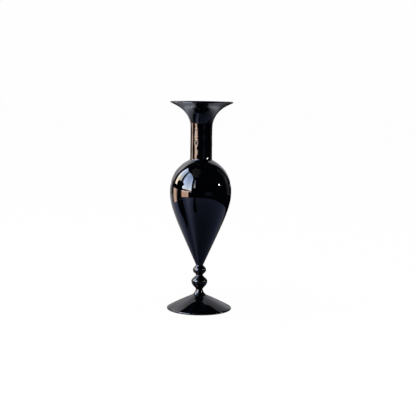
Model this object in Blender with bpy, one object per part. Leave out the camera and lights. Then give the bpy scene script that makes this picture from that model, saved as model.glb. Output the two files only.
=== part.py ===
"""Black glass vase: a flared mouth on a straight neck, a teardrop body, two knops and a domed foot.

Units are metres, +Z is up, and the origin is the centre of the ring that the vase stands on.
Each piece is one piece of glass, turned about +Z from an outline of (radius, height) points that
starts at the piece's own lower seat. The pieces stack on one another, and a fine gap marks each
place where two of them were joined hot.
"""

from math import cos, dist, pi, radians, sin, tau

import bmesh
import bpy
from mathutils import Vector
from mathutils.geometry import interpolate_bezier

mm = 0.001

# Seats where two pieces are joined hot
hot_joint_gap = 0.3 * mm

# Foot, a blown cone that is open beneath and stands on a flat ring
foot_radius = 39.0 * mm
foot_height = 16.4 * mm
foot_edge_radius = 1.3 * mm
foot_ring_width = 2.8 * mm
foot_crown_thickness = 4.6 * mm
collar_seat_radius = 10.2 * mm

# Collar, the solid flare under the stem
collar_height = 7.5 * mm
collar_waist_radius = 4.15 * mm

# Knops, two solid beads
lower_knop_radius = 9.7 * mm
lower_knop_height = 16.8 * mm
lower_knop_belly_height = 9.9 * mm
knop_waist_radius = 4.1 * mm
upper_knop_radius = 8.05 * mm
upper_knop_height = 12.1 * mm
upper_knop_belly_height = 6.3 * mm
tip_waist_radius = 4.35 * mm

# Body, a blown teardrop with a solid tip
body_radius = 36.75 * mm
body_height = 128.3 * mm
body_belly_height = 88.2 * mm
body_wall = 2.6 * mm
body_tip_thickness = 16.0 * mm
shoulder_crease_radius = 2.3 * mm

# Neck, a straight tube
neck_foot_radius = 13.05 * mm
neck_top_radius = 13.5 * mm
neck_length = 42.2 * mm
neck_wall = 2.2 * mm

# Mouth, a trumpet with a round lip
mouth_radius = 37.5 * mm
mouth_height = 24.9 * mm
lip_thickness = 1.6 * mm

# Slopes, measured from the level
collar_seat_slope = radians(25)
foot_edge_slope = radians(30)
underside_slope = radians(36)
body_tip_slope = radians(66)
shoulder_slope = radians(42)
cavity_shoulder_slope = radians(80)
mouth_root_slope = radians(76)
lip_slope = radians(32)
waist_slope = radians(80)

# Pulls of the outlines near the start and near the end of each run, as shares of its straight length
cone_pull_shares = (0.33, 0.33)
underside_pull_shares = (0.20, 0.40)
collar_pull_shares = (0.55, 0.06)
lower_knop_pull_shares = (0.20, 0.48, 0.28, 0.15)
upper_knop_pull_shares = (0.33, 0.48, 0.40, 0.17)
taper_pull_shares = (0.585, 0.205)
shoulder_pull_shares = (0.65, 0.07)
cavity_top_pull_shares = (0.12, 0.60)
cavity_pull_shares = (0.22, 0.16)
neck_pull_shares = (0.60, 0.02)
mouth_pull_shares = (0.54, 0.12)
bowl_pull_shares = (0.12, 0.54)

# How fine the pieces are turned
turn_steps = 48
weld_distance = 0.001 * mm
sharp_edge_angle = radians(40)

# Directions of travel along an outline
outward, upward, inward, downward = 0, pi / 2, pi, -pi / 2

# Colours of the glass, in linear light
thin_glass_colour = (0.006, 0.008, 0.014, 1.0)
solid_glass_colour = (0.003, 0.004, 0.007, 1.0)
polished_roughness = 0.04
glass_ior = 1.5


def flow(start, leaving, end, arriving, pull_shares, points):
    """A smooth run between two (radius, height) points, with its direction of travel at each end.

    The pulls say how far the run holds each direction, as shares of the straight distance."""
    span = dist(start, end)
    leave_pull, arrive_pull = (share * span for share in pull_shares)
    near = (start[0] + leave_pull * cos(leaving), start[1] + leave_pull * sin(leaving))
    far = (end[0] - arrive_pull * cos(arriving), end[1] - arrive_pull * sin(arriving))
    knots = [Vector((radius, height)) for radius, height in (start, near, far, end)]
    return [tuple(point)[:2] for point in interpolate_bezier(*knots, points)]


def arc(centre, radius, first_angle, last_angle, points):
    """A round run of (radius, height) points about a centre."""
    turn = last_angle - first_angle
    angles = [first_angle + turn * index / (points - 1) for index in range(points)]
    return [(centre[0] + radius * cos(angle), centre[1] + radius * sin(angle)) for angle in angles]


def foot_outline():
    """From the middle of the seat down the cone, round the edge, along the ring and up beneath."""
    edge_centre = (foot_radius - foot_edge_radius, foot_edge_radius)
    edge = arc(edge_centre, foot_edge_radius, upward - foot_edge_slope, downward, points=5)
    seat = (collar_seat_radius, foot_height)
    cone = flow(seat, -collar_seat_slope, edge[0], -foot_edge_slope, cone_pull_shares, points=7)
    ring_inside = (edge_centre[0] - foot_ring_width, 0)
    crown = (0, foot_height - foot_crown_thickness)
    underside = flow(
        ring_inside, inward - underside_slope, crown, inward, underside_pull_shares, points=7
    )
    return [(0, foot_height), *cone, *edge, *underside]


def collar_outline():
    """A solid flare that sweeps in from the foot to the first waist."""
    seat = (collar_seat_radius, 0)
    waist = (collar_waist_radius, collar_height)
    sweep = flow(seat, inward - collar_seat_slope, waist, upward, collar_pull_shares, points=7)
    return [(0, 0), *sweep, (0, collar_height)]


def knop_outline(foot_waist, belly_radius, belly_height, top_waist, height, pull_shares):
    """A solid bead that swells from one waist to its belly and draws in to the next waist."""
    belly = (belly_radius, belly_height)
    swell = flow((foot_waist, 0), waist_slope, belly, upward, pull_shares[:2], points=8)
    draw = flow(belly, upward, (top_waist, height), inward - waist_slope, pull_shares[2:], points=8)
    return [(0, 0), *swell, *draw, (0, height)]


def body_outline():
    """Up the outside from the tip, in over the shoulder, and down the cavity to its floor."""
    belly = (body_radius, body_belly_height)
    taper = flow((tip_waist_radius, 0), body_tip_slope, belly, upward, taper_pull_shares, points=11)
    crease_centre = (neck_foot_radius + shoulder_crease_radius, body_height)
    crease = arc(
        crease_centre, shoulder_crease_radius, inward + upward - shoulder_slope, inward, points=4
    )
    shoulder = flow(
        belly, upward, crease[0], inward - shoulder_slope, shoulder_pull_shares, points=11
    )
    bore = (neck_foot_radius - neck_wall, body_height)
    wide = (body_radius - body_wall, body_belly_height)
    floor = (0, body_tip_thickness)
    under_shoulder = flow(
        bore, -cavity_shoulder_slope, wide, downward, cavity_top_pull_shares, points=7
    )
    cavity = flow(wide, downward, floor, inward, cavity_pull_shares, points=10)
    return [(0, 0), *taper, *shoulder, *crease, *under_shoulder, *cavity]


def neck_outline():
    """A tube of even wall that opens very slightly towards the mouth."""
    top = (neck_top_radius, neck_length)
    outside = flow((neck_foot_radius, 0), upward, top, mouth_root_slope, neck_pull_shares, points=4)
    inside = [(radius - neck_wall, height) for radius, height in reversed(outside)]
    return outside + inside


def mouth_outline():
    """Out along the underside of the trumpet, round its lip and back down inside."""
    lip_radius = lip_thickness / 2
    lip_centre = (mouth_radius - lip_radius, mouth_height - lip_radius)
    lip = arc(lip_centre, lip_radius, lip_slope + downward, lip_slope + upward, points=6)
    root = (neck_top_radius, 0)
    bore = (neck_top_radius - neck_wall, 0)
    underside = flow(root, mouth_root_slope, lip[0], lip_slope, mouth_pull_shares, points=11)
    bowl = flow(
        lip[-1], lip_slope + inward, bore, mouth_root_slope + inward, bowl_pull_shares, points=10
    )
    return underside + lip + bowl


def black_glass(name, colour):
    """Polished glass so dark that it reads as black."""
    material = bpy.data.materials.new(name)
    material.use_nodes = True
    shader = material.node_tree.nodes["Principled BSDF"]
    shader.inputs["Base Color"].default_value = colour
    shader.inputs["Metallic"].default_value = 0
    shader.inputs["Roughness"].default_value = polished_roughness
    shader.inputs["IOR"].default_value = glass_ior
    material.diffuse_color = colour
    return material


def turned_piece(name, outline, seat_height, colour, parent):
    """Turns an outline about +Z. One that doesn't start on the axis is closed into a ring."""
    bm = bmesh.new()
    corners = [bm.verts.new((radius, 0, height)) for radius, height in outline]
    for first, second in zip(corners, corners[1:]):
        bm.edges.new((first, second))
    if outline[0][0] > 0:
        bm.edges.new((corners[-1], corners[0]))
    bmesh.ops.remove_doubles(bm, verts=bm.verts, dist=weld_distance)
    bmesh.ops.spin(
        bm,
        geom=bm.verts[:] + bm.edges[:],
        cent=(0, 0, 0),
        axis=(0, 0, 1),
        angle=tau,
        steps=turn_steps,
        use_merge=True,
    )
    bmesh.ops.remove_doubles(bm, verts=bm.verts, dist=weld_distance)
    bmesh.ops.recalc_face_normals(bm, faces=bm.faces)
    mesh = bpy.data.meshes.new(name)
    bm.to_mesh(mesh)
    bm.free()
    mesh.shade_smooth()
    mesh.set_sharp_from_angle(angle=sharp_edge_angle)
    mesh.materials.append(black_glass(name + "_glass", colour))
    piece = bpy.data.objects.new(name, mesh)
    bpy.context.scene.collection.objects.link(piece)
    piece.parent = parent
    piece.location.z = seat_height
    return piece


def build_vase():
    """Stacks the pieces from the foot up."""
    for obj in list(bpy.data.objects):
        bpy.data.objects.remove(obj, do_unlink=True)
    axis = bpy.data.objects.new("vase_axis", None)
    bpy.context.scene.collection.objects.link(axis)
    lower_knop = knop_outline(
        collar_waist_radius,
        lower_knop_radius,
        lower_knop_belly_height,
        knop_waist_radius,
        lower_knop_height,
        lower_knop_pull_shares,
    )
    upper_knop = knop_outline(
        knop_waist_radius,
        upper_knop_radius,
        upper_knop_belly_height,
        tip_waist_radius,
        upper_knop_height,
        upper_knop_pull_shares,
    )
    stack = (
        ("foot", foot_outline(), foot_height, thin_glass_colour),
        ("foot_collar", collar_outline(), collar_height, solid_glass_colour),
        ("lower_knop", lower_knop, lower_knop_height, solid_glass_colour),
        ("upper_knop", upper_knop, upper_knop_height, solid_glass_colour),
        ("body_bulb", body_outline(), body_height, thin_glass_colour),
        ("neck_tube", neck_outline(), neck_length, thin_glass_colour),
        ("mouth_funnel", mouth_outline(), mouth_height, thin_glass_colour),
    )
    seat_height = 0
    for name, outline, height, colour in stack:
        turned_piece(name, outline, seat_height, colour, axis)
        seat_height += height + hot_joint_gap


build_vase()
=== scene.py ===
from math import cos, dist, exp, pi, radians, sin, tan, tau

import bmesh
import bpy
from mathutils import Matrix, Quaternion, Vector, noise
from mathutils.geometry import interpolate_bezier


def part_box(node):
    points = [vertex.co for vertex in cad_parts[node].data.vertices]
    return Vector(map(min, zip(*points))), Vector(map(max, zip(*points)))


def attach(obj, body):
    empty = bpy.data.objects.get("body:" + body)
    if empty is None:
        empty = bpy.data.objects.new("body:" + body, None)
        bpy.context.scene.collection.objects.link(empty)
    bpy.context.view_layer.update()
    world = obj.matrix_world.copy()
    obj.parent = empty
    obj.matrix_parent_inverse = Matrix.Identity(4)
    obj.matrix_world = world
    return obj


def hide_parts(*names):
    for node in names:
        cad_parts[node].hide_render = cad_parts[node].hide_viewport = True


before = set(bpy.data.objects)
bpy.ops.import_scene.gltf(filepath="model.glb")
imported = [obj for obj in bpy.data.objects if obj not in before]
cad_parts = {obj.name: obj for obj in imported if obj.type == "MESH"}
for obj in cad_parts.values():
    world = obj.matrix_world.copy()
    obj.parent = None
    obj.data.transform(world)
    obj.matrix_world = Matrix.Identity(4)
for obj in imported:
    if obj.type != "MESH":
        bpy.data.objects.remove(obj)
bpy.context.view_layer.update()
mm = 0.001
print("frame loaded:", ", ".join(sorted(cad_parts)))

# How the glass is turned
turning = {
    "steps": 160,
    "weldDistance": 0.001 * mm,
    "handRoom": 0.05 * mm,  # keeps the unevenness of the glass inside the frame's box
    "levelNormal": 0.99999,  # a face this square to the axis is a seat, and its rim stays crisp
}

# Directions of travel along an outline, turned from outward
upward, inward, downward = pi / 2, pi, -pi / 2


def flow(start, leaving, end, arriving, pulls, points):
    # A smooth run between two (radius, height) points. The pulls say how far it holds its
    # direction at each end, as shares of the straight distance.
    span = dist(start, end)
    leavePull, arrivePull = (share * span for share in pulls)
    near = (start[0] + leavePull * cos(leaving), start[1] + leavePull * sin(leaving))
    far = (end[0] - arrivePull * cos(arriving), end[1] - arrivePull * sin(arriving))
    knots = [Vector((radius, height)) for radius, height in (start, near, far, end)]
    return [(point.x, point.y) for point in interpolate_bezier(*knots, points)]


def arc(centre, radius, firstAngle, lastAngle, points):
    # A round run about a centre
    turn = lastAngle - firstAngle
    angles = [firstAngle + turn * index / (points - 1) for index in range(points)]
    return [(centre[0] + radius * cos(angle), centre[1] + radius * sin(angle)) for angle in angles]


def chain(*runs):
    # Runs laid end to end, with a shared point kept once
    outline = list(runs[0])
    for run in runs[1:]:
        shared = dist(outline[-1], run[0]) < turning["weldDistance"]
        outline += run[1:] if shared else run
    return outline


def along(stops, place):
    # A value or a colour read off a list of (place, value) stops
    if place <= stops[0][0]:
        return stops[0][1]
    for (first, low), (last, high) in zip(stops, stops[1:]):
        if place <= last:
            share = (place - first) / (last - first)
            if isinstance(low, tuple):
                return tuple(a + (b - a) * share for a, b in zip(low, high))
            return low + (high - low) * share
    return stops[-1][1]


def widest(node):
    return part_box(node)[1].x


def seatHeight(lower, upper):
    # Hot joints close halfway across the frame's gap
    return (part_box(lower)[1].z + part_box(upper)[0].z) / 2


# The unevenness of glass that was blown and turned by hand
handWork = {
    "swayShare": 0.0013,  # slow wander of the wall, as a share of the radius
    "swayLength": 30 * mm,
    "rippleDepth": 0.085 * mm,  # ripples left where the neck was drawn out
    "rippleHeight": 8.0 * mm,
    "rippleLobes": 3.5,
    "rippleFade": 6 * mm,
    "jackMarkDepth": 0.012 * mm,  # fine rings left by the jacks
    "jackMarkWidth": 0.7 * mm,
    "jackMarkShares": (0.566, 0.649, 0.818),  # where they lie on the neck, from its foot
}
neckSpan = (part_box("neck_tube")[0].z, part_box("neck_tube")[1].z)


def handMade(radius, angle, height):
    # The radius with the wander of the wall, and on the neck its ripples and jack marks
    swayLength = handWork["swayLength"]
    x, y = cos(angle), sin(angle)
    spot = Vector((x * radius / swayLength, y * radius / swayLength, height / swayLength))
    reach = radius + noise.noise(spot) * handWork["swayShare"] * radius
    fade = handWork["rippleFade"]
    onNeck = min(1, max(0, min(height - neckSpan[0] + fade, neckSpan[1] + fade - height) / fade))
    if onNeck > 0:
        lobes = handWork["rippleLobes"]
        rippleSpot = Vector((x * lobes, y * lobes, height / handWork["rippleHeight"]))
        reach += noise.noise(rippleSpot) * handWork["rippleDepth"] * onNeck
        for share in handWork["jackMarkShares"]:
            mark = neckSpan[0] + share * (neckSpan[1] - neckSpan[0])
            away = (height - mark) / handWork["jackMarkWidth"]
            reach -= handWork["jackMarkDepth"] * exp(-away * away)
    return reach


def turnedPiece(name, outline, glass):
    # Turns an outline about +Z. One that doesn't start on the axis closes into a ring.
    steps = turning["steps"]
    bm = bmesh.new()
    rings = []
    for radius, height in outline:
        if radius < turning["weldDistance"]:
            rings.append([bm.verts.new((0, 0, height))])
            continue
        ring = []
        for step in range(steps):
            angle = tau * step / steps
            reach = handMade(radius, angle, height)
            ring.append(bm.verts.new((reach * cos(angle), reach * sin(angle), height)))
        rings.append(ring)
    bands = list(zip(rings, rings[1:]))
    if outline[0][0] > turning["weldDistance"]:
        bands.append((rings[-1], rings[0]))
    for lower, upper in bands:
        for step in range(steps):
            after = (step + 1) % steps
            corners = (
                lower[step % len(lower)],
                lower[after % len(lower)],
                upper[after % len(upper)],
                upper[step % len(upper)],
            )
            bm.faces.new(dict.fromkeys(corners))
    bmesh.ops.recalc_face_normals(bm, faces=bm.faces)
    for edge in bm.edges:
        level = [abs(face.normal.z) > turning["levelNormal"] for face in edge.link_faces]
        edge.smooth = level[0] == level[1]
    mesh = bpy.data.meshes.new(name)
    bm.to_mesh(mesh)
    bm.free()
    for face in mesh.polygons:
        face.use_smooth = True
    mesh.materials.append(glass)
    piece = bpy.data.objects.new(name, mesh)
    bpy.context.scene.collection.objects.link(piece)
    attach(piece, "root")
    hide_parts(name)
    print(name, "turned,", len(mesh.polygons), "faces")


def addNode(tree, kind, sockets, **settings):
    # A shader node with its sockets set, or linked where the value is another node's socket
    made = tree.nodes.new("ShaderNode" + kind)
    for key, value in settings.items():
        setattr(made, key, value)
    for socket, value in sockets.items():
        if isinstance(value, bpy.types.NodeSocket):
            tree.links.new(value, made.inputs[socket])
        else:
            made.inputs[socket].default_value = value
    return made


def blackGlass(name, look):
    # Near-black glass under a fire polish, with faint clouds of colour, smudges and turning lines
    material = bpy.data.materials.new(name)
    material.use_nodes = True
    tree = material.node_tree
    shader = tree.nodes["Principled BSDF"]
    place = addNode(tree, "TexCoord", {}).outputs["Object"]

    cloud = addNode(
        tree, "TexNoise",
        {"Vector": place, "Scale": look["cloudScale"], "Detail": grain["cloudDetail"]},
    )
    colour = addNode(
        tree, "Mix",
        {"Factor": cloud.outputs["Fac"], "A": look["deepColour"], "B": look["cloudColour"]},
        data_type="RGBA",
    )
    tree.links.new(colour.outputs["Result"], shader.inputs["Base Color"])

    smudge = addNode(
        tree, "TexNoise",
        {
            "Vector": place,
            "Scale": look["smudgeScale"],
            "Detail": grain["smudgeDetail"],
            "Distortion": grain["smudgeDistortion"],
        },
    )
    polish = addNode(
        tree, "MapRange",
        {
            "Value": smudge.outputs["Fac"],
            "From Min": grain["smudgeStart"],
            "From Max": grain["smudgeFull"],
            "To Min": look["polishedRoughness"],
            "To Max": look["smudgedRoughness"],
        },
    )
    tree.links.new(polish.outputs["Result"], shader.inputs["Roughness"])

    stretched = addNode(tree, "Mapping", {"Vector": place, "Scale": look["lineStretch"]})
    lines = addNode(
        tree, "TexNoise",
        {"Vector": stretched.outputs["Vector"], "Scale": 1, "Detail": grain["lineDetail"]},
    )
    relief = addNode(
        tree, "Bump", {"Height": lines.outputs["Fac"], "Strength": 1, "Distance": look["lineDepth"]}
    )
    tree.links.new(relief.outputs["Normal"], shader.inputs["Normal"])
    shader.inputs["IOR"].default_value = look["ior"]
    shader.inputs["Metallic"].default_value = 0
    return material


# How fine the marks in the glass are, the same for every piece
grain = {
    "cloudDetail": 3,
    "smudgeDetail": 5,
    "smudgeDistortion": 0.6,
    "smudgeStart": 0.45,  # share of the noise at which a smudge begins to show
    "smudgeFull": 0.75,
    "lineDetail": 2,
}

# The thin blown pieces, and the solid beads with finer marks
blownLook = {
    "deepColour": (0.0003, 0.0004, 0.0007, 1),
    "cloudColour": (0.0006, 0.0008, 0.0016, 1),
    "cloudScale": 60,
    "smudgeScale": 45,
    "polishedRoughness": 0.02,
    "smudgedRoughness": 0.07,
    "lineStretch": (25, 25, 600),
    "lineDepth": 0.002 * mm,
    "ior": 1.45,
}
shadedFootLook = {**blownLook, "ior": 1.36}  # a shaded copy of the glass: the foot mirrors a little less, which is painted shade
solidLook = {
    "deepColour": (0.0002, 0.0003, 0.0005, 1),
    "cloudColour": (0.0004, 0.0005, 0.0010, 1),
    "cloudScale": 120,
    "smudgeScale": 90,
    "polishedRoughness": 0.02,
    "smudgedRoughness": 0.05,
    "lineStretch": (60, 60, 400),
    "lineDepth": 0.001 * mm,
    "ior": 1.45,
}
blownGlass = blackGlass("blownBlackGlass", blownLook)
shadedFootGlass = blackGlass("shadedFootBlackGlass", shadedFootLook)
solidGlass = blackGlass("solidBlackGlass", solidLook)
print("glass mixed")

# Foot, a blown cone that is open beneath
foot = {
    "edgeRadius": 1.3 * mm,
    "ringWidth": 2.8 * mm,
    "crownThickness": 4.6 * mm,
    "edgeSlope": radians(30),
    "undersideSlope": radians(36),
    "conePulls": (0.33, 0.33),
    "undersidePulls": (0.20, 0.40),
    "pontilRadius": 6.0 * mm,  # the mark left by the punty, ground out to a shallow dish
    "pontilDepth": 0.7 * mm,
    "pontilPulls": (0.06, 0.5),
}

# Collar, the solid flare that joins the stem to the foot
collar = {
    "seatSlope": radians(25),
    "waistRadius": 4.14 * mm,
    "pulls": (0.55, 0.06),
}


def footOutline():
    top = seatHeight("foot", "foot_collar")
    edgeCentre = (widest("foot") - turning["handRoom"] - foot["edgeRadius"], foot["edgeRadius"])
    edge = arc(edgeCentre, foot["edgeRadius"], upward - foot["edgeSlope"], downward, points=16)
    seat = (widest("foot_collar"), top)
    cone = flow(
        seat, -collar["seatSlope"], edge[0], -foot["edgeSlope"], foot["conePulls"], points=60
    )
    ringInside = (edgeCentre[0] - foot["ringWidth"], 0)
    crown = top - foot["crownThickness"]
    dishEdge = (foot["pontilRadius"], crown)
    underside = flow(
        ringInside, inward - foot["undersideSlope"], dishEdge, inward,
        foot["undersidePulls"], points=36,
    )
    dish = flow(
        dishEdge, upward, (0, crown + foot["pontilDepth"]), inward, foot["pontilPulls"], points=12
    )
    return chain([(0, top)], cone, edge, underside, dish)


def collarOutline():
    low, high = seatHeight("foot", "foot_collar"), seatHeight("foot_collar", "lower_knop")
    seat = (widest("foot_collar"), low)
    waist = (collar["waistRadius"], high)
    sweep = flow(seat, inward - collar["seatSlope"], waist, upward, collar["pulls"], points=48)
    return chain([(0, low)], sweep, [(0, high)])


# Knops, two solid beads with a waist below, between and above them
knops = {
    "waistSlope": radians(80),
    "middleWaistRadius": 4.09 * mm,
    "tipWaistRadius": 4.36 * mm,
    "lowerBellyHeight": 34.4 * mm,
    "upperBellyHeight": 47.95 * mm,
    "lowerPulls": (0.195, 0.484, 0.279, 0.150),
    "upperPulls": (0.334, 0.481, 0.397, 0.169),
}


def knopOutline(footWaist, low, belly, topWaist, high, pulls):
    swell = flow((footWaist, low), knops["waistSlope"], belly, upward, pulls[:2], points=32)
    draw = flow(belly, upward, (topWaist, high), inward - knops["waistSlope"], pulls[2:], points=32)
    return chain([(0, low)], swell, draw, [(0, high)])


def lowerKnopOutline():
    return knopOutline(
        collar["waistRadius"],
        seatHeight("foot_collar", "lower_knop"),
        (widest("lower_knop"), knops["lowerBellyHeight"]),
        knops["middleWaistRadius"],
        seatHeight("lower_knop", "upper_knop"),
        knops["lowerPulls"],
    )


def upperKnopOutline():
    return knopOutline(
        knops["middleWaistRadius"],
        seatHeight("lower_knop", "upper_knop"),
        (widest("upper_knop"), knops["upperBellyHeight"]),
        knops["tipWaistRadius"],
        seatHeight("upper_knop", "body_bulb"),
        knops["upperPulls"],
    )


# Body, a blown teardrop with a thick solid tip
body = {
    "bellyHeight": 142.39 * mm,
    "wall": 2.6 * mm,
    "tipThickness": 16.0 * mm,
    "tipSlope": radians(66.3),
    "shoulderSlope": radians(42.1),
    "cavityShoulderSlope": radians(80),
    "creaseRadius": 2.35 * mm,
    "taperPulls": (0.583, 0.206),
    "shoulderPulls": (0.647, 0.071),
    "cavityTopPulls": (0.12, 0.60),
    "cavityPulls": (0.22, 0.16),
}

# Neck, a straight tube
neck = {
    "footRadius": 13.05 * mm,
    "topRadius": 13.52 * mm,
    "wall": 2.2 * mm,
    "pulls": (0.60, 0.07),
}

# Mouth, a thin trumpet with a fire-polished lip
mouth = {
    "rootSlope": radians(75.4),
    "lipSlope": radians(31.9),
    "lipRadius": 0.8 * mm,
    "pulls": (0.545, 0.122),
    "bowlPulls": (0.12, 0.54),
}


def bodyOutline():
    low, high = seatHeight("upper_knop", "body_bulb"), seatHeight("body_bulb", "neck_tube")
    belly = (widest("body_bulb") - turning["handRoom"], body["bellyHeight"])
    tip = (knops["tipWaistRadius"], low)
    taper = flow(tip, body["tipSlope"], belly, upward, body["taperPulls"], points=110)
    creaseCentre = (neck["footRadius"] + body["creaseRadius"], high)
    creaseStart = inward + upward - body["shoulderSlope"]
    crease = arc(creaseCentre, body["creaseRadius"], creaseStart, inward, points=14)
    shoulder = flow(
        belly, upward, crease[0], inward - body["shoulderSlope"], body["shoulderPulls"], points=80
    )
    bore = (neck["footRadius"] - neck["wall"], high)
    wide = (belly[0] - body["wall"], body["bellyHeight"])
    floorPoint = (0, low + body["tipThickness"])
    underShoulder = flow(
        bore, -body["cavityShoulderSlope"], wide, downward, body["cavityTopPulls"], points=30
    )
    cavity = flow(wide, downward, floorPoint, inward, body["cavityPulls"], points=40)
    return chain([(0, low)], taper, shoulder, crease, underShoulder, cavity)


def neckOutline():
    low, high = seatHeight("body_bulb", "neck_tube"), seatHeight("neck_tube", "mouth_funnel")
    outside = flow(
        (neck["footRadius"], low), upward, (neck["topRadius"], high), mouth["rootSlope"],
        neck["pulls"], points=90,
    )
    inside = [(radius - neck["wall"], height) for radius, height in reversed(outside)]
    return chain(outside, inside)


def mouthOutline():
    low, top = seatHeight("neck_tube", "mouth_funnel"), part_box("mouth_funnel")[1].z
    lipRadius = mouth["lipRadius"]
    lipCentre = (widest("mouth_funnel") - turning["handRoom"] - lipRadius, top - lipRadius)
    lip = arc(
        lipCentre, lipRadius, mouth["lipSlope"] + downward, mouth["lipSlope"] + upward, points=16
    )
    root = (neck["topRadius"], low)
    bore = (neck["topRadius"] - neck["wall"], low)
    underside = flow(root, mouth["rootSlope"], lip[0], mouth["lipSlope"], mouth["pulls"], points=90)
    bowl = flow(
        lip[-1], mouth["lipSlope"] + inward, bore, mouth["rootSlope"] + inward,
        mouth["bowlPulls"], points=70,
    )
    return chain(underside, lip, bowl)


turnedPiece("foot", footOutline(), shadedFootGlass)
turnedPiece("foot_collar", collarOutline(), solidGlass)
turnedPiece("lower_knop", lowerKnopOutline(), solidGlass)
turnedPiece("upper_knop", upperKnopOutline(), solidGlass)
turnedPiece("body_bulb", bodyOutline(), blownGlass)
turnedPiece("neck_tube", neckOutline(), blownGlass)
turnedPiece("mouth_funnel", mouthOutline(), blownGlass)

# The plain stage: white floor and white surround, lit evenly
studio = {
    "floorSize": 24.0,
    "floorDrop": 0.05 * mm,  # just clear of the foot's ring
    "floorColour": (0.82, 0.82, 0.82, 1),
    "floorWhiteShare": 0.94,  # the rest takes the vase's shadow
    "ambient": 0.95,  # strength of the light from all round
    "white": 0.991,  # the white that the camera sees
    "keyPower": 14.0,
    "keySize": 1.6,
    "keyPlace": (-0.7, -0.5, 1.9),
}


def directSight(tree):
    # 1 for what the camera sees straight, in a mirror or through glass
    path = addNode(tree, "LightPath", {})
    seen = addNode(
        tree, "Math",
        {0: path.outputs["Is Camera Ray"], 1: path.outputs["Is Glossy Ray"]},
        operation="ADD",
    )
    seen = addNode(
        tree, "Math",
        {0: seen.outputs["Value"], 1: path.outputs["Is Transmission Ray"]},
        operation="ADD", use_clamp=True,
    )
    return seen.outputs["Value"]


def makeSurround():
    world = bpy.data.worlds.new("whiteSurround")
    bpy.context.scene.world = world
    world.use_nodes = True
    tree = world.node_tree
    tree.nodes.clear()
    strength = addNode(
        tree, "MapRange",
        {"Value": directSight(tree), "To Min": studio["ambient"], "To Max": studio["white"]},
    )
    light = addNode(
        tree, "Background", {"Color": (1, 1, 1, 1), "Strength": strength.outputs["Result"]}
    )
    addNode(tree, "OutputWorld", {"Surface": light.outputs["Background"]})


def makeFloor():
    material = bpy.data.materials.new("paleFloor")
    material.use_nodes = True
    tree = material.node_tree
    tree.nodes.clear()
    share = addNode(
        tree, "Math", {0: directSight(tree), 1: studio["floorWhiteShare"]}, operation="MULTIPLY"
    )
    matt = addNode(tree, "BsdfDiffuse", {"Color": studio["floorColour"]})
    white = addNode(tree, "Emission", {"Color": (1, 1, 1, 1), "Strength": 1.0})
    mixed = addNode(
        tree, "MixShader",
        {0: share.outputs["Value"], 1: matt.outputs["BSDF"], 2: white.outputs["Emission"]},
    )
    addNode(tree, "OutputMaterial", {"Surface": mixed.outputs["Shader"]})
    half, drop = studio["floorSize"] / 2, studio["floorDrop"]
    mesh = bpy.data.meshes.new("paleFloor")
    corners = ((-half, -half), (half, -half), (half, half), (-half, half))
    mesh.from_pydata([(x, y, -drop) for x, y in corners], [], [(0, 1, 2, 3)])
    mesh.materials.append(material)
    floor = bpy.data.objects.new("paleFloor", mesh)
    bpy.context.scene.collection.objects.link(floor)


def makeKeyLight():
    lamp = bpy.data.lights.new("softKey", "AREA")
    lamp.energy = studio["keyPower"]
    lamp.size = studio["keySize"]
    key = bpy.data.objects.new("softKey", lamp)
    key.location = studio["keyPlace"]
    key.rotation_mode = "QUATERNION"
    key.rotation_quaternion = (-Vector(studio["keyPlace"])).to_track_quat("-Z", "Y")
    key.visible_glossy = False
    bpy.context.scene.collection.objects.link(key)


makeSurround()
makeFloor()
makeKeyLight()
print("stage set")

# Studio cards round the vase, which only its polish mirrors. Their stops are (angle, height) for
# the low and the high edge, (height, colour) for the glow and (angle, share) for the sides. An
# angle is in degrees from the camera's side, to the right. Heights and distances are in metres.
cardLook = {
    "layer": "glow",
    "uprightRows": 14,
    "uprightStep": 1.0,  # degrees
    "levelRows": 16,
    "levelStep": 2.5,
}
black = (0.004, 0.004, 0.006)


def cardMaterial(name, oneSided=False):
    # Shines with the card's own brightness. A one-sided card is clear from its other side.
    material = bpy.data.materials.new(name)
    material.use_nodes = True
    tree = material.node_tree
    tree.nodes.clear()
    glow = addNode(tree, "Attribute", {}, attribute_name=cardLook["layer"])
    light = addNode(
        tree, "Emission", {"Color": glow.outputs["Color"], "Strength": 1.0}
    ).outputs["Emission"]
    if oneSided:
        side = addNode(tree, "NewGeometry", {})
        clear = addNode(tree, "BsdfTransparent", {})
        light = addNode(
            tree, "MixShader", {0: side.outputs["Backfacing"], 1: clear.outputs["BSDF"], 2: light}
        ).outputs["Shader"]
    addNode(tree, "OutputMaterial", {"Surface": light})
    return material


cardGlow = cardMaterial("studioCard")
oneSidedGlow = cardMaterial("studioCardOneSided", oneSided=True)


def roundTheVase(angle, height, distance):
    turn = radians(angle)
    return (distance * sin(turn), -distance * cos(turn), height)


def addCard(name, points, glows):
    # A card from rows of points, each with its own brightness
    columns = len(points[0])
    faces = []
    for row in range(len(points) - 1):
        for column in range(columns - 1):
            start = row * columns + column
            faces.append((start, start + 1, start + columns + 1, start + columns))
    mesh = bpy.data.meshes.new(name)
    mesh.from_pydata([point for row in points for point in row], [], faces)
    layer = mesh.attributes.new(cardLook["layer"], "FLOAT_COLOR", "POINT")
    for index, glow in enumerate(glow for row in glows for glow in row):
        layer.data[index].color = (*glow, 1)
    mesh.materials.append(cardGlow)
    card = bpy.data.objects.new(name, mesh)
    bpy.context.scene.collection.objects.link(card)
    card.visible_camera = False
    card.visible_diffuse = False
    card.visible_shadow = False
    card.visible_volume_scatter = False
    return card


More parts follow.
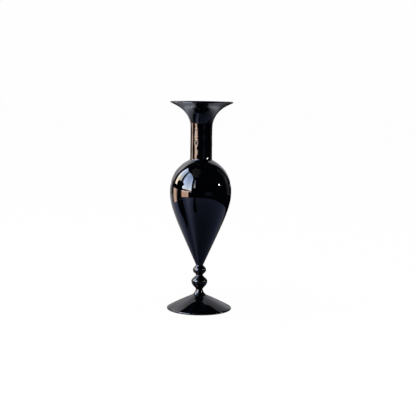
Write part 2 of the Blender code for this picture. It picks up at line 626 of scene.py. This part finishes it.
def uprightCard(name, card):
    # Stands round the vase between its low and its high edge. One with a distance for each of
    # the two edges leans.
    distance = card["distance"]
    atLow, atHigh = distance if isinstance(distance, tuple) else (distance, distance)
    first, last = card["low"][0][0], card["low"][-1][0]
    columns = max(2, round((last - first) / cardLook["uprightStep"]) + 1)
    rows = cardLook["uprightRows"]
    points, glows = [], []
    for row in range(rows):
        share = row / (rows - 1)
        rowPoints, rowGlows = [], []
        for column in range(columns):
            angle = first + (last - first) * column / (columns - 1)
            bottom, top = along(card["low"], angle), along(card["high"], angle)
            height = bottom + (top - bottom) * share
            side = along(card.get("sides", [(0, 1.0)]), angle)
            rowPoints.append(roundTheVase(angle, height, atLow + (atHigh - atLow) * share))
            rowGlows.append(tuple(value * side for value in along(card["glow"], height)))
        points.append(rowPoints)
        glows.append(rowGlows)
    return addCard(name, points, glows)


# Tall softbox panes to the left with a bar between them, dark flags before them and a sliver
panes = {
    "paneLeft": {
        "distance": 1.000,
        "low": [(-117, 0.303), (-86.5, 0.308)],
        "high": [(-117, 1.53), (-86.5, 1.53)],
        "glow": [
            (0.31, (13, 11, 9)), (0.38, (13, 11, 9)), (0.50, (12.5, 10.5, 8)),
            (0.65, (12.5, 12, 11.2)), (0.80, (11, 12, 13.5)), (1.0, (10, 11.5, 14.5)),
            (1.5, (9, 11, 15.5)),
        ],
        "sides": [
            (-117, 0.0), (-115.5, 0.6), (-113.5, 1.2), (-107, 1.2), (-102, 0.85), (-86.5, 0.8),
        ],
    },
    "paneRight": {
        "distance": 1.000,
        "low": [(-75, 0.244), (-60, 0.240), (-51, 0.223), (-34.5, 0.198)],
        "high": [(-75, 1.53), (-60, 1.48), (-51, 1.37), (-42, 1.20), (-34.5, 0.90)],
        "glow": [(0.24, (18.5, 19.5, 21)), (0.31, (15, 17, 20)), (0.38, (13.5, 15.5, 19.5)),
                 (0.55, (10.5, 12.5, 17.5)), (0.80, (7.8, 9.8, 15)), (1.05, (6.2, 8.2, 12.4))],
        "sides": [
            (-75, 1.2), (-66, 1.2), (-61, 1.0), (-50, 0.92), (-44, 0.92), (-40, 1.1),
            (-34.5, 1.12),
        ],
    },
    "middleBar": {
        "distance": 1.005,
        "low": [(-86.5, 0.48), (-75, 0.48)],
        "high": [(-86.5, 1.50), (-75, 1.50)],
        "glow": [(0.48, (0.2, 0.25, 0.4))],
    },
    "middleFlag": {
        "distance": 0.990,
        "low": [
            (-104, 0.380), (-102, 0.300), (-76.5, 0.300), (-75.5, 0.290), (-73, 0.320),
            (-66, 0.410),
        ],
        "high": [
            (-104, 0.390), (-102.5, 0.440), (-97, 0.530), (-75, 0.520), (-71.5, 0.490),
            (-69, 0.470), (-66, 0.42),
        ],
        "glow": [(0, black)],
    },
    "cornerFlag": {
        "distance": 0.985,
        "low": [(-77, 0.190), (-71.5, 0.205)],
        "high": [(-77, 0.330), (-74, 0.325), (-71.5, 0.235)],
        "glow": [(0, black)],
    },
    "paneSliver": {
        "distance": 1.000,
        "low": [(-28.5, 0.335), (-18.5, 0.335)],
        "high": [(-28.5, 0.85), (-18.5, 0.85)],
        "glow": [
            (0.335, (6.6, 6.6, 7.2)), (0.46, (6.6, 6.6, 7.2)), (0.53, (3.3, 3.3, 4.1)),
            (0.85, (0.9, 0.9, 1.2)),
        ],
        "sides": [(-27, 0.0), (-25.5, 1.2), (-22.5, 1.2), (-20.5, 0.4), (-19, 0.0)],
    },
}

# Warm strips that lean out under the panes, a low bar between, and flags for the neck
strips = {
    "warmStripLeft": {
        "distance": (0.45, 1.00),
        "low": [(-124, 0.0), (-90, 0.0)],
        "high": [(-124, 0.168), (-90, 0.170)],
        "glow": [(0.09, (6.9, 4.7, 3.6)), (0.12, (7.7, 5.4, 4.4)), (0.15, (7.7, 5.4, 4.4))],
        "sides": [
            (-124, 0.05), (-120, 0.22), (-113, 1.0), (-106, 1.0), (-101, 0.7), (-97, 0.2),
            (-95, 0.02),
        ],
    },
    "warmStripRight": {
        "distance": (0.70, 1.00),
        "low": [(-77, 0.0), (-46, 0.0)],
        "high": [(-77, 0.180), (-68, 0.185), (-64, 0.172), (-46, 0.165)],
        "glow": [
            (0.09, (12, 7.6, 5.6)), (0.12, (13, 8.6, 6.6)), (0.14, (16, 12, 9.5)),
            (0.17, (16, 12.5, 10.5)),
        ],
        "sides": [(-77, 0.0), (-74, 0.4), (-71, 1.0), (-54, 0.95), (-48, 1.15), (-46, 1.15)],
    },
    "stripFlag": {
        "distance": 0.455,
        "low": [(-101, 0.0), (-89, 0.0)],
        "high": [(-101, 0.005), (-97, 0.055), (-93, 0.105), (-89, 0.15)],
        "glow": [(0, black)],
    },
    "stripEnd": {
        "distance": 0.995,
        "low": [(-46, 0.135), (-35, 0.135)],
        "high": [(-46, 0.170), (-35, 0.170)],
        "glow": [(0.1, (9, 7, 6.4))],
        "sides": [(-46, 1.0), (-38, 0.9), (-35, 0.2)],
    },
    "lowBar": {
        "distance": 0.998,
        "low": [(-76.5, 0.165), (-35, 0.165)],
        "high": [(-76.5, 0.242), (-60, 0.240), (-51, 0.223), (-35, 0.198)],
        "glow": [(0.165, (4, 3.3, 2.8)), (0.180, (1.2, 1.0, 0.8)), (0.240, (0.5, 0.4, 0.4))],
        "sides": [(-52, 1.0), (-47, 3.0), (-40, 5.0)],
    },
    "neckFlagLow": {
        "distance": 0.450,
        "low": [(-99, 0.158), (-69.3, 0.158)],
        "high": [(-99, 0.183), (-69.3, 0.183)],
        "glow": [(0, black)],
    },
    "neckFlagHigh": {
        "distance": 0.450,
        "low": [(-99, 0.182), (-73.5, 0.182)],
        "high": [(-99, 0.203), (-73.5, 0.203)],
        "glow": [(0, black)],
    },
}

# Flags and pale cards that close the round, and what stands behind the vase
surround = {
    "darkSurround": {
        "distance": 1.100,
        "low": [(-129, 0.0), (142, 0.0)],
        "high": [(-129, 2.20), (142, 2.20)],
        "glow": [(0, black)],
    },
    "dimCardHigh": {
        "distance": 1.095,
        "low": [(-62, 1.55), (-34, 1.25), (-6, 1.25)],
        "high": [(-62, 2.20), (-6, 2.20)],
        "glow": [(1.25, (0.20, 0.19, 0.18))],
        "sides": [(-62, 1.4), (-20, 1.0), (-6, 0.2)],
    },
    "dimCardLow": {
        "distance": 1.090,
        "low": [(12, 0.0), (46, 0.0)],
        "high": [(12, 0.17), (46, 0.17)],
        "glow": [(0.0, (0.11, 0.12, 0.18)), (0.12, (0.11, 0.12, 0.18)), (0.17, (0.02, 0.02, 0.03))],
        "sides": [(12, 0.1), (20, 1.0), (36, 1.0), (46, 0.1)],
    },
    "paleRight": {
        "distance": 1.090,
        "low": [(112, 0.0), (138, 0.0)],
        "high": [(112, 1.15), (138, 1.15)],
        "glow": [(0.0, (0.10, 0.10, 0.13)), (0.30, (0.16, 0.16, 0.19)), (0.42, (0.34, 0.34, 0.38)),
                 (0.55, (0.12, 0.12, 0.13)), (1.15, (0.10, 0.10, 0.11))],
        "sides": [(112, 0.0), (119, 1.0), (130, 1.0), (134, 0.2), (138, 0.0)],
    },
    "backLeftLow": {
        "distance": 1.200,
        "low": [(-171, 0.0), (-127, 0.0)],
        "high": [(-171, 0.31), (-127, 0.31)],
        "glow": [(0.0, (0.80, 0.75, 0.72)), (0.16, (0.80, 0.75, 0.72)), (0.20, (1.0, 0.97, 0.95))],
        "sides": [
            (-171, 0.6), (-160, 0.7), (-150, 0.95), (-145, 0.85), (-139, 0.4), (-135, 0.25),
            (-131, 0.1), (-129, 0.0),
        ],
    },
    "backLeft": {
        "distance": 1.200,
        "low": [(-168, 0.31), (-127, 0.31)],
        "high": [
            (-168, 2.18), (-161, 2.00), (-155, 1.74), (-149, 1.60), (-145, 1.48), (-137, 1.22),
            (-127, 1.0),
        ],
        "glow": [(0.30, (0.85, 0.83, 0.83)), (0.50, (1.15, 1.15, 1.25)), (0.80, (2.2, 2.2, 2.35)),
                 (1.1, (2.0, 2.0, 2.2)), (1.6, (1.6, 1.6, 1.75))],
        "sides": [
            (-168, 0.75), (-159, 0.70), (-152, 0.6), (-147, 0.85), (-140, 1.1), (-134, 1.2),
            (-130.5, 0.8), (-127.5, 0.0),
        ],
    },
    "backRight": {
        "distance": 1.200,
        "low": [(145, 0.34), (152, 0.34), (156, 0.20), (160, 0.15), (169, 0.12)],
        "high": [(145, 1.45), (149, 1.52), (154, 1.74), (158, 2.00), (162, 2.16), (169, 2.18)],
        "glow": [(0.15, (0.85, 0.85, 0.90)), (0.30, (0.70, 0.71, 0.78)), (0.60, (0.88, 0.90, 0.98)),
                 (1.2, (1.05, 1.05, 1.18)), (1.5, (0.85, 0.85, 0.95))],
        "sides": [(145, 0.2), (148, 0.60), (152, 0.62), (156, 0.85), (160, 1.0), (169, 1.0)],
    },
    "darkBack": {
        "distance": 1.250,
        "low": [(140, 0.0), (236, 0.0)],
        "high": [(140, 2.20), (236, 2.20)],
        "glow": [(0, black)],
    },
}

for group in (panes, strips, surround):
    for cardName, card in group.items():
        uprightCard(cardName, card)

# A dark sheet overhead, a little paler at the front left
overhead = {
    "radius": 1.26,
    "height": 2.20,
    "sides": [
        (-180, (0.02, 0.026, 0.08)), (-140, (0.02, 0.03, 0.08)), (-120, black), (-84, black),
        (-78, (0.22, 0.21, 0.20)), (-8, (0.16, 0.15, 0.15)), (2, black), (150, black),
        (180, (0.02, 0.026, 0.08)),
    ],
    "innerRadius": 0.03,
}

# The dark cloth round the foot, which only the polish mirrors. It is paler to the left and behind;
# its brightness round the turn is painted light, brightest to the left toward the panes, and its
# darker ring near the foot is painted shade
slate = (0.21, 0.25, 0.46)
periwinkle = (0.56, 0.64, 1.08)
mist = (0.92, 0.94, 1.08)
cloth = {
    "height": 0.3 * mm,
    "innerRadius": 39.5 * mm,
    "outerRadius": 1.21,
    "edge": [
        (-180, 0.34), (-168, 0.36), (-165, 1.18), (-131, 1.18), (-128, 0.50), (-105, 0.46),
        (-80, 0.55), (-62, 0.66), (-20, 0.62), (15, 0.60), (45, 0.50), (70, 0.38), (90, 0.345),
        (130, 0.345), (150, 0.34), (180, 0.34),
    ],
    "colour": [
        (-180, mist), (-128, mist), (-112, periwinkle), (-96, periwinkle), (-80, slate),
        (-62, slate), (-50, periwinkle), (-34, periwinkle), (-22, slate), (110, slate),
        (150, mist), (180, mist),
    ],
    # painted light: how brightly the cloth is lit at each angle
    "bright": [
        (-180, 0.20), (-165, 0.40), (-150, 0.55), (-140, 0.45), (-130, 0.50), (-110, 0.75),
        (-90, 0.60), (-75, 0.9), (-68, 1.3), (-58, 1.3), (-45, 1.2), (-35, 0.70), (-18, 0.72),
        (5, 0.56), (40, 0.64), (75, 0.82), (110, 1.0), (130, 0.35), (141, 0.22), (150, 0.15),
        (160, 0.12), (180, 0.20),
    ],
    # painted shade: the cloth darkens toward the foot
    "spread": [(0.04, 0.58), (0.10, 0.62), (0.20, 0.95), (0.40, 1.25), (0.60, 1.35), (0.80, 1.6)],
}

# Pale fans that face up, which paint a reflection on the underside of the mouth alone
fans = {
    "height": 150 * mm,
    "reach": (0.040, 0.250),
    "colour": (0.95, 0.99, 1.16),
    "left": {
        "bright": [
            (-172, 0.35), (-152, 0.50), (-147, 0.90), (-142, 1.05), (-134, 1.1), (-126, 0.8),
            (-112, 0.65), (-100, 0.55), (-92, 0.5), (-87, 0.1),
        ],
        "spread": [
            (0.040, 0.4), (0.047, 2.1), (0.065, 1.7), (0.10, 1.3), (0.14, 0.9), (0.18, 0.6),
            (0.25, 0.42),
        ],
    },
    "right": {
        "bright": [
            (84, 0.1), (90, 0.25), (98, 0.3), (108, 0.5), (120, 0.7), (132, 1.1), (142, 1.1),
            (149, 0.8), (154, 0.4), (172, 0.1),
        ],
        "spread": [
            (0.040, 0.4), (0.047, 1.1), (0.065, 1.25), (0.08, 1.1), (0.10, 0.9), (0.13, 0.55),
            (0.16, 0.35), (0.25, 0.2),
        ],
    },
}

# Two small glowing cards over the knops, which face down and paint highlights on the knops alone
knopHighlightCards = {
    "knopHighlightLeft": {
        "height": 88 * mm,
        "angles": (-77, -52),
        "reach": (0.165, 0.105),
        "glow": (24.0, 26.0, 30.0),
    },
    "knopHighlightRight": {
        "height": 82 * mm,
        "angles": (80, 91),
        "reach": (0.146, 0.124),
        "glow": (55.0, 55.0, 55.0),
    },
}

# Small flags that keep one part of the vase from showing in another
flags = {
    "neckFlag": {"height": 203.5 * mm, "angles": (-62, 12), "reach": (0.0145, 0.026)},
    "glintFlag": {"height": 180.0 * mm, "angles": (50, 72), "reach": (0.049, 0.041)},
    "footFlagLeft": {"height": 19.5 * mm, "angles": (-22, 0), "reach": (0.034, 0.013)},
    "footFlagRight": {"height": 19.5 * mm, "angles": (0, 15), "reach": (0.034, 0.021)},
}


def levelCard(name, angles, distances, height, glowAt):
    # Lies level round the vase. The distances are asked for at each angle.
    rows = cardLook["levelRows"]
    points, glows = [], []
    for row in range(rows):
        share = row / (rows - 1)
        rowPoints, rowGlows = [], []
        for angle in angles:
            near, far = distances(angle)
            distance = near + (far - near) * share
            rowPoints.append(roundTheVase(angle, height, distance))
            rowGlows.append(glowAt(angle, distance))
        points.append(rowPoints)
        glows.append(rowGlows)
    return addCard(name, points, glows)


def anglesBetween(first, last):
    count = round((last - first) / cardLook["levelStep"])
    return [first + (last - first) * index / count for index in range(count + 1)]


# The cloth's colour times its painted light and shade
def paintedClothLight(angle, distance):
    bright = along(cloth["bright"], angle) * along(cloth["spread"], distance)
    return tuple(value * bright for value in along(cloth["colour"], angle))


fullTurn = anglesBetween(-180, 180)
levelCard(
    "overheadSheet", fullTurn, lambda angle: (overhead["innerRadius"], overhead["radius"]),
    overhead["height"], lambda angle, distance: along(overhead["sides"], angle),
)
levelCard(
    "clothWithPaintedLight", fullTurn, lambda angle: (cloth["innerRadius"], along(cloth["edge"], angle)),
    cloth["height"], paintedClothLight,
)
levelCard(
    "darkApron", fullTurn, lambda angle: (along(cloth["edge"], angle), cloth["outerRadius"]),
    cloth["height"], lambda angle, distance: black,
)


def fanCard(name, fan):
    def glowAt(angle, distance):
        bright = along(fan["bright"], angle) * along(fan["spread"], distance)
        return tuple(value * bright for value in fans["colour"])

    angles = anglesBetween(fan["bright"][0][0], fan["bright"][-1][0])
    card = levelCard(name, angles, lambda angle: fans["reach"], fans["height"], glowAt)
    card.data.materials[0] = oneSidedGlow


fanCard("fanLeft", fans["left"])
fanCard("fanRight", fans["right"])
for group in (flags, knopHighlightCards):
    for name, sheet in group.items():
        card = levelCard(
            name, anglesBetween(*sheet["angles"]), lambda angle: sheet["reach"], sheet["height"],
            lambda angle, distance: sheet.get("glow", black),
        )
        if sheet["reach"][0] > sheet["reach"][1]:  # it faces down, and is clear from above
            card.data.materials[0] = oneSidedGlow

# A small lit card for the foot of the neck. It leans in, and is clear from its outer side.
neckGlint = {
    "distance": (0.04575, 0.04425),
    "low": [(57, 0.1805), (69, 0.1805)],
    "high": [(57, 0.1820), (69, 0.1820)],
    "glow": [(0.18, (40.0, 40.0, 39.0))],
}
glintCard = uprightCard("neckGlint", neckGlint)
glintCard.data.materials[0] = oneSidedGlow

# Painted shadows, as dark streaks over the cloth, each from (distance, left angle, right angle)
# stops
paintedShadowStreaks = {
    "height": 0.6 * mm,
    "rows": 16,
    "columns": 5,
    "left": [
        (0.13, (-84, -70)), (0.16, (-85, -66)), (0.22, (-97, -66)), (0.30, (-99, -68)),
        (0.50, (-99, -69)),
    ],
    "front": [(0.17, (-27, -14)), (0.25, (-30, -14)), (0.29, (-27, -18)), (0.58, (-26, -18))],
}


# Lays one painted shadow flat over the cloth
def paintedShadowCard(name, stops):
    rows, columns = paintedShadowStreaks["rows"], paintedShadowStreaks["columns"]
    points = []
    for row in range(rows):
        distance = stops[0][0] + (stops[-1][0] - stops[0][0]) * row / (rows - 1)
        left, right = along(stops, distance)
        angles = [left + (right - left) * column / (columns - 1) for column in range(columns)]
        points.append([roundTheVase(angle, paintedShadowStreaks["height"], distance) for angle in angles])
    return addCard(name, points, [[black] * columns] * rows)


paintedShadowCard("leftPaintedShadow", paintedShadowStreaks["left"])
paintedShadowCard("frontPaintedShadow", paintedShadowStreaks["front"])

# A small globe lamp to the right
globe = {
    "angle": 72.3,
    "height": 0.222,
    "distance": 0.285,
    "radius": 9 * mm,
    "rows": 9,
    "columns": 17,
    "glow": (120.0, 119.0, 116.0),
}


def makeGlobe():
    rows, columns = globe["rows"], globe["columns"]
    points = []
    x, y, z = roundTheVase(globe["angle"], globe["height"], globe["distance"])
    for row in range(rows):
        tilt = pi * row / (rows - 1)
        reach, rise = globe["radius"] * sin(tilt), globe["radius"] * cos(tilt)
        turns = [tau * column / (columns - 1) for column in range(columns)]
        points.append([(x + reach * cos(turn), y + reach * sin(turn), z + rise) for turn in turns])
    addCard("globeLamp", points, [[globe["glow"]] * columns] * rows)


makeGlobe()
print("studio cards up")

# Camera at the photograph's view
photoCamera = {
    "place": (0.0, -1.250, 0.2718),
    "pitchDown": radians(6.786),
    "aimRight": 9.17 * mm,  # the vase stands a little left of the middle of the picture
    "roll": radians(0.85),
    "lens": 90.86,
    "sensor": 36.0,
    "nearest": 0.01,
}


def makeCamera():
    lens = bpy.data.cameras.new("camera")
    lens.lens = photoCamera["lens"]
    lens.sensor_width = photoCamera["sensor"]
    lens.clip_start = photoCamera["nearest"]
    camera = bpy.data.objects.new("camera", lens)
    place = Vector(photoCamera["place"])
    drop = -place.y * tan(photoCamera["pitchDown"])
    aim = Vector((photoCamera["aimRight"], 0, place.z - drop))
    look = (aim - place).to_track_quat("-Z", "Y")
    camera.location = place
    camera.rotation_mode = "QUATERNION"
    camera.rotation_quaternion = look @ Quaternion((0, 0, 1), photoCamera["roll"])
    bpy.context.scene.collection.objects.link(camera)
    bpy.context.scene.camera = camera


makeCamera()
bpy.context.scene.view_settings.view_transform = "Standard"
print("camera placed")
